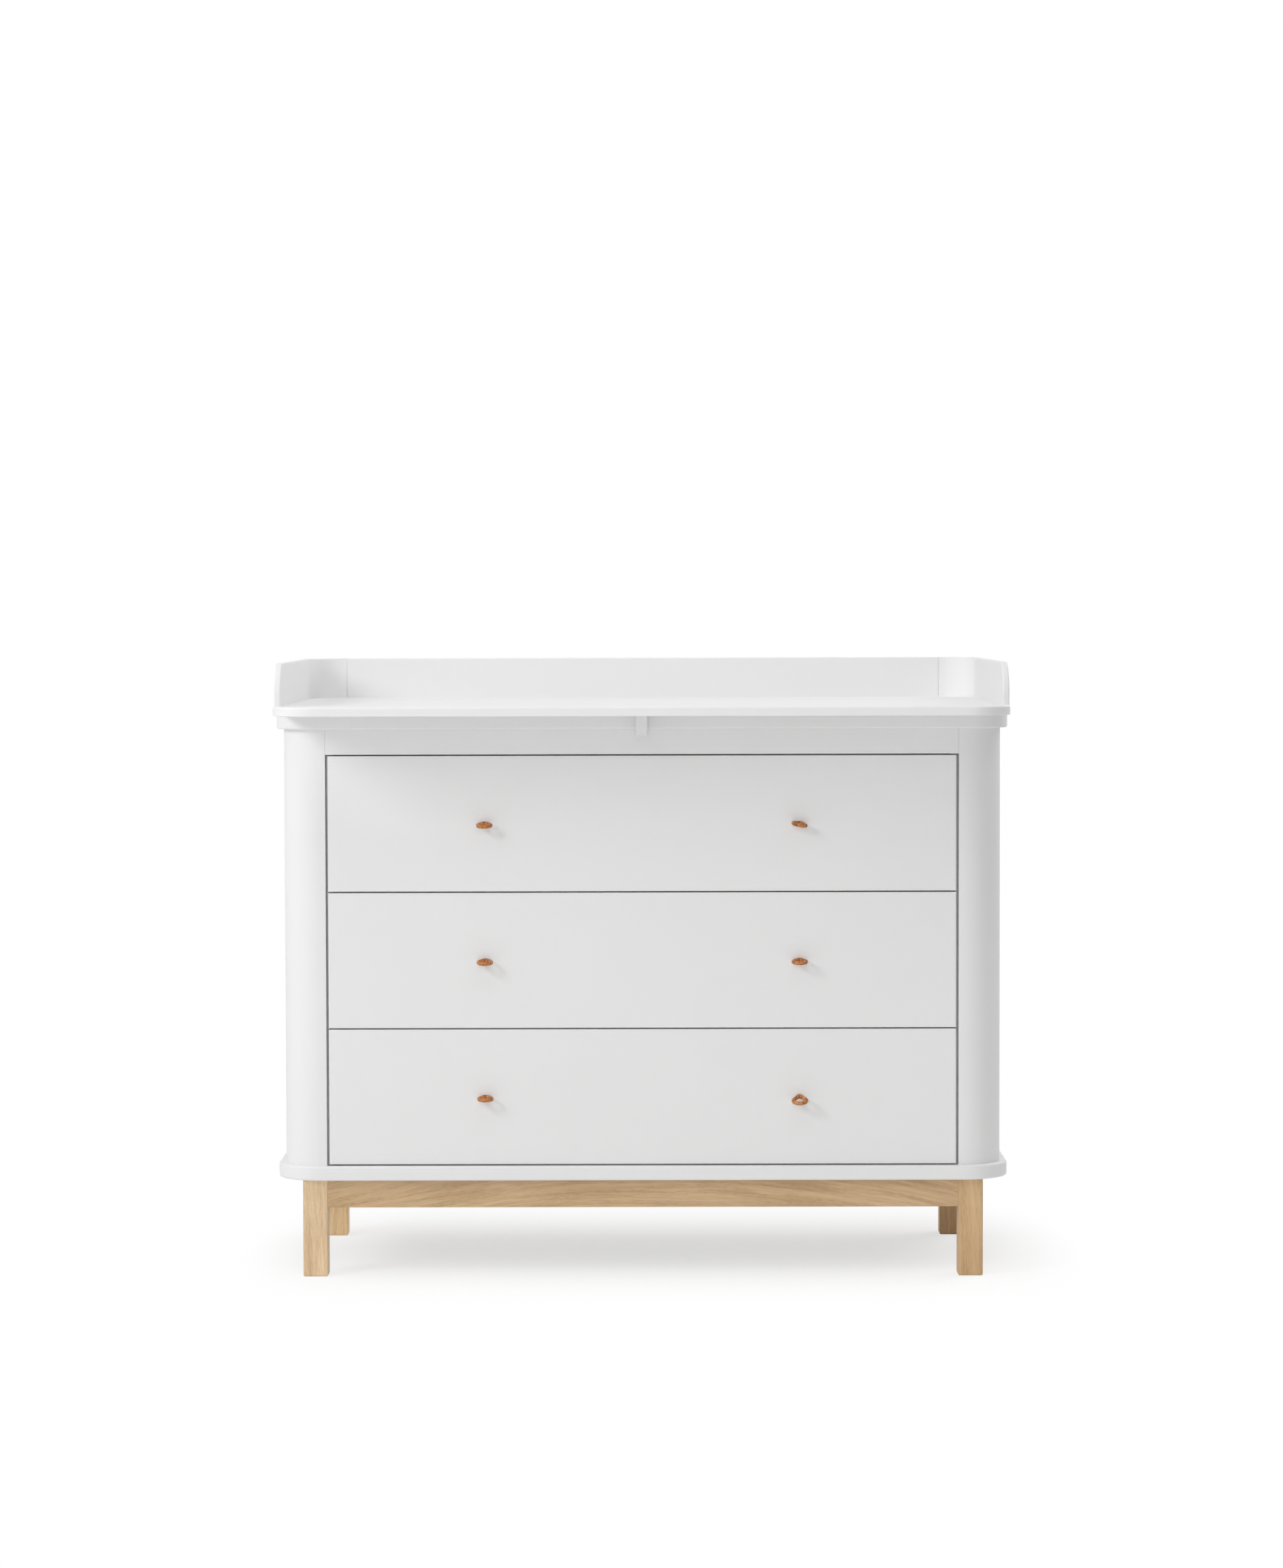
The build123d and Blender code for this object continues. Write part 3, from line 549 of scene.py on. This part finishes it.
def loop_pull(name, hole, front_thickness, bow, droop, lean):
    """A loop that hangs from a hole in a drawer front, with its ends tied behind the front."""
    hang = Matrix.Rotation(radians(lean), 3, "Y") @ Matrix.Rotation(radians(droop), 3, "X")
    right = [Vector((x, -y, 0)) for x, y in STRAND + bow]
    left = [Vector((-x, -y, 0)) for x, y in STRAND + bow[:-1]]
    bend = Vector((0, -BEND_REACH, 0))
    places = []
    swelling = []
    for point in right + left[::-1]:
        hangs_free = point.y < bend.y
        places.append(hole + (bend + hang @ (point - bend) if hangs_free else point))
        swelling.append(1.0 if hangs_free else PRESSED_SWELLING)
    loop = leather_cord(name, places, swelling)
    wraps = []
    for step in range(WRAP_STEPS):
        turns = WRAP_TURNS * step / (WRAP_STEPS - 1)
        angle = 2 * pi * turns
        depth = front_thickness + CORD_RADIUS + WRAP_PITCH * turns
        wraps.append(hole + Vector((WRAP_RADIUS * cos(angle), depth, WRAP_RADIUS * sin(angle))))
    knot = leather_cord(name + "_knot", wraps, [1.0] * WRAP_STEPS)
    bpy.ops.object.select_all(action="DESELECT")
    knot.select_set(True)
    loop.select_set(True)
    bpy.context.view_layer.objects.active = loop
    bpy.ops.object.join()
    close_seams()
    bpy.ops.object.shade_smooth_by_angle(angle=radians(CORD_SMOOTH_ANGLE))
    return loop


leather = grained_leather("cognac_leather")
for level in levels:
    front_low, front_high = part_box(f"drawer_front_{level}")
    front_thickness = front_high.y - front_low.y
    front_middle_z = (front_low.z + front_high.z) / 2
    for side in ("left", "right"):
        cord_low, cord_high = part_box(f"pull_{side}_{level}")
        hole = Vector(((cord_low.x + cord_high.x) / 2, front_low.y, front_middle_z))
        place = f"{side}_{level}"
        pull = loop_pull(f"leather_pull_{place}", hole, front_thickness, *HANGS[place])
        finish_piece(pull, leather, f"drawer_{level}", "leather", f"pull_{place}")

# Top board
# The lid of the dresser, lacquered and dowelled onto the posts and sides. It has the same plan as
# the bottom board and is a little thicker.
top_board = front_corner_board("top_board", "dresser_top")
finish_piece(top_board, lacquer, "carcass", "white_lacquer", "dresser_top")

# Changing board
# A thin lacquered board, laid loose on the dresser, which it overhangs at the front. Its four
# corners are rounded and its edges eased.
TRAY_FRONT_CORNER = 0.066
TRAY_BACK_CORNER = 0.067
TRAY_FOOT_EASE = 0.0015
tray_low, tray_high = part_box("changing_board")
tray = block("changing_tray", tray_low, tray_high)
for line, corner in ((tray_low.y, TRAY_FRONT_CORNER), (tray_high.y, TRAY_BACK_CORNER)):
    round_edges(tray, lambda edge: upright(edge) and lies_on(edge, y=line), corner, CORNER_STEPS)
for level, ease in ((tray_high.z, BOARD_EASE), (tray_low.z, TRAY_FOOT_EASE)):
    round_edges(tray, lambda edge: lies_on(edge, z=level), ease, EDGE_STEPS)
smooth(tray)
finish_piece(tray, lacquer, "changing_top", "white_lacquer", "changing_board")

# Side rims
# A wall of thin board bent round the back corner of the tray, with its front end rounded back
# to the top. It stands on the tray and is screwed from below.
RIM_NOSE = 0.050
RIM_EASE = 0.002
FACING = 0.99
LEVEL_SLOPE = 1e-4
rim_low, rim_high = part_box("rim_right")
back_low, back_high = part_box("rim_back")
rim_width = back_high.y - back_low.y
bend_radius = rim_high.x - rim_low.x
bend_x = rim_high.x - bend_radius
bend_y = rim_high.y - bend_radius
rim_right = block(
    "tray_rim_right",
    (rim_high.x - rim_width, rim_low.y, tray_high.z),
    (rim_high.x, bend_y, rim_high.z),
)
bpy.ops.object.mode_set(mode="EDIT")
bpy.ops.mesh.select_mode(type="FACE")
bpy.ops.mesh.select_all(action="DESELECT")
mesh = bmesh.from_edit_mesh(rim_right.data)
for face in mesh.faces:
    face.select_set(face.normal.y > FACING)
bmesh.update_edit_mesh(rim_right.data)
bpy.ops.mesh.spin(steps=CORNER_STEPS, angle=-pi / 2, center=(bend_x, bend_y, 0), axis=(0, 0, 1))
close_seams()
round_edges(rim_right, lambda edge: lies_on(edge, y=rim_low.y, z=rim_high.z), RIM_NOSE, CORNER_STEPS)


def is_wall(face):
    """True for the inner and outer faces of the rim."""
    front_end = face.normal.y < -FACING
    back_end = face.normal.x < -FACING and face.calc_center_median().x < bend_x + SAME_PLACE
    return abs(face.normal.z) < LEVEL_SLOPE and not front_end and not back_end


def tops_the_wall(edge):
    """True for the edges between a wall and the top, the nose or the front end."""
    others = [face for face in edge.link_faces if not is_wall(face)]
    if len(others) != 1:
        return False
    return others[0].normal.z > LEVEL_SLOPE or others[0].normal.y < -FACING


round_edges(rim_right, tops_the_wall, RIM_EASE, EDGE_STEPS)
smooth(rim_right)
bpy.ops.object.duplicate()
rim_left = bpy.context.object
rim_left.name = "tray_rim_left"
rim_left.scale.x = -1
bpy.ops.object.transform_apply(location=False, rotation=False, scale=True)
close_seams()
smooth(rim_left)
finish_piece(rim_right, lacquer, "changing_top", "white_lacquer", "rim_right")
finish_piece(rim_left, lacquer, "changing_top", "white_lacquer", "rim_left")

# Back rim
# The straight length of the same board between the two bent ones. It is butted against them with a
# fine seam, and screwed from below as they are.
SEAM_GROOVE = 0.0012
rim_back = block("tray_rim_back", (back_low.x, back_low.y, tray_high.z), back_high)
for line in (back_low.y, back_high.y):
    round_edges(rim_back, lambda edge: lies_on(edge, y=line, z=back_high.z), RIM_EASE, EDGE_STEPS)
round_edges(rim_back, lambda edge: upright(edge) and edge.calc_length() > RIM_NOSE, SEAM_GROOVE, 1)
smooth(rim_back)
finish_piece(rim_back, lacquer, "changing_top", "white_lacquer", "rim_back")

# Stop block and screws
# A small lacquered block under the overhang lies against the dresser, so that the top can't slide
# back. Zinc-plated screws hold the block and the rims from below.
dress(lacquer, "front_stop_block")
dress(steel, "changing_top_screws")

# Floor
# A pale studio floor, white to the camera and in reflections. Round the dresser part of that white
# gives way to plain light, so that the floor keeps the soft shadow.
FLOOR_SIZE = 60.0
FLOOR_COLOUR = grey(0.95)
FLOOR_GLOW = 1.0
SHADE_GLOW_SHARE = 0.55
SHADE_MIDDLE = (0.03, 0.12)
SHADE_REACH = (0.62, 0.40)
SHADE_POWERS = (8.0, 2.0)
SHADE_FULL = 0.1
SHADE_GONE = 1.5


def seen(tree):
    """1 where the camera, a reflection or glass looks straight at a surface."""
    path = tree.nodes.new("ShaderNodeLightPath").outputs
    mirrored = calculated(tree, "MAXIMUM", path["Is Glossy Ray"], path["Is Transmission Ray"])
    return calculated(tree, "MAXIMUM", path["Is Camera Ray"], mirrored)


def reached(tree, place, middle, reach, power):
    """How far out a place is, as a share of the shade's reach, to a power."""
    offset = calculated(tree, "SUBTRACT", place, middle)
    return calculated(tree, "POWER", calculated(tree, "DIVIDE", offset, reach), power)


def show_blend(tree, share, first, second, output):
    """Send a blend of two shaders to an output of this kind."""
    blend = tree.nodes.new("ShaderNodeMixShader")
    tree.links.new(share, blend.inputs["Fac"])
    tree.links.new(first, blend.inputs[1])
    tree.links.new(second, blend.inputs[2])
    tree.links.new(blend.outputs["Shader"], tree.nodes.new(output).inputs["Surface"])


bpy.ops.object.select_all(action="DESELECT")
bpy.ops.mesh.primitive_plane_add(size=FLOOR_SIZE)
floor = bpy.context.object
floor.name = "studio_floor"
floor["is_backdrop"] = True
floor_material = bpy.data.materials.new("studio_floor")
floor_material.use_nodes = True
tree = floor_material.node_tree
tree.nodes.clear()
lit = tree.nodes.new("ShaderNodeBsdfDiffuse")
lit.inputs["Color"].default_value = FLOOR_COLOUR
glow = tree.nodes.new("ShaderNodeEmission")
glow.inputs["Strength"].default_value = FLOOR_GLOW
parts = split(tree, tree.nodes.new("ShaderNodeTexCoord").outputs["Object"])
across = reached(tree, parts["X"], SHADE_MIDDLE[0], SHADE_REACH[0], SHADE_POWERS[0])
inward = reached(tree, parts["Y"], SHADE_MIDDLE[1], SHADE_REACH[1], SHADE_POWERS[1])
distance = calculated(tree, "SQRT", calculated(tree, "ADD", across, inward))
fade = tree.nodes.new("ShaderNodeMapRange")
fade.interpolation_type = "SMOOTHSTEP"
fade.inputs["From Min"].default_value = SHADE_FULL
fade.inputs["From Max"].default_value = SHADE_GONE
fade.inputs["To Min"].default_value = SHADE_GLOW_SHARE
tree.links.new(distance, fade.inputs["Value"])
share = calculated(tree, "MULTIPLY", seen(tree), fade.outputs["Result"])
show_blend(tree, share, lit.outputs["BSDF"], glow.outputs["Emission"], "ShaderNodeOutputMaterial")
floor.data.materials.append(floor_material)

# Light
# A weak even glow from all round, and nine soft boxes that look at the middle of the object. The key
# stands high to the left of the camera, and the others fill the front, top, sides and back.
AMBIENT = 0.2
world = bpy.data.worlds.new("studio")
bpy.context.scene.world = world
world.use_nodes = True
tree = world.node_tree
tree.nodes.clear()
ambient = tree.nodes.new("ShaderNodeBackground")
ambient.inputs["Color"].default_value = grey(1)
ambient.inputs["Strength"].default_value = AMBIENT
white = tree.nodes.new("ShaderNodeBackground")
white.inputs["Color"].default_value = grey(1)
backgrounds = (ambient.outputs["Background"], white.outputs["Background"])
show_blend(tree, seen(tree), *backgrounds, "ShaderNodeOutputWorld")
middle = (cad_low + cad_high) / 2


def soft_box(name, direction, distance, width, height, power):
    """An area light that looks at the middle of the object."""
    direction = Vector(direction)
    bpy.ops.object.light_add(type="AREA", location=middle + direction.normalized() * distance)
    lamp = bpy.context.object
    lamp.name = name
    lamp.data.shape = "RECTANGLE"
    lamp.data.size = width
    lamp.data.size_y = height
    lamp.data.energy = power
    lamp.visible_camera = False
    lamp.rotation_mode = "QUATERNION"
    lamp.rotation_quaternion = direction.to_track_quat("Z", "Y")


soft_box("key_light", (-0.676, -0.564, 0.473), distance=4.5, width=1.3, height=1.3, power=51.0)
soft_box("top_light", (0.0, -0.32, 1.0), distance=3.5, width=3.0, height=3.0, power=46.0)
soft_box("left_light", (-1.0, -0.1, 0.3), distance=4.0, width=3.2, height=3.2, power=22.0)
soft_box("high_left_light", (-1.0, 0.1, 0.8), distance=4.0, width=2.5, height=2.5, power=18.0)
soft_box("right_light", (0.75, 0.65, 0.5), distance=4.0, width=2.8, height=2.8, power=48.0)
soft_box("high_right_light", (1.0, 0.4, 0.9), distance=4.0, width=2.5, height=2.5, power=19.0)
soft_box("front_light", (-0.03, -1.0, 0.28), distance=5.0, width=1.2, height=2.6, power=35.5)
soft_box("low_light", (0.0, -1.0, -0.05), distance=5.0, width=0.6, height=1.5, power=15.0)
soft_box("back_light", (0.0, 1.0, 0.0), distance=5.0, width=3.0, height=0.85, power=34.0)

# Camera
# Stands a little right of the middle and a little above the changing top, far off, so that the
# lines stay nearly straight.
CAMERA_PLACE = (0.02265, -6.34103, 1.03374)
CAMERA_SENSOR = 36.0
CAMERA_LENS = 92.47
CAMERA_TILT = 2.523
CAMERA_TURN = 0.215
CAMERA_ROLL = -0.137
bpy.ops.object.camera_add(location=CAMERA_PLACE)
camera = bpy.context.object
camera.data.sensor_width = CAMERA_SENSOR
camera.data.lens = CAMERA_LENS
turn = Matrix.Rotation(radians(CAMERA_TURN), 3, "Z")
tilt = Matrix.Rotation(radians(90 - CAMERA_TILT), 3, "X")
roll = Matrix.Rotation(radians(CAMERA_ROLL), 3, "Z")
camera.rotation_euler = (turn @ tilt @ roll).to_euler()
bpy.context.scene.camera = camera
bpy.context.scene.view_settings.view_transform = "Standard"

low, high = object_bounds()
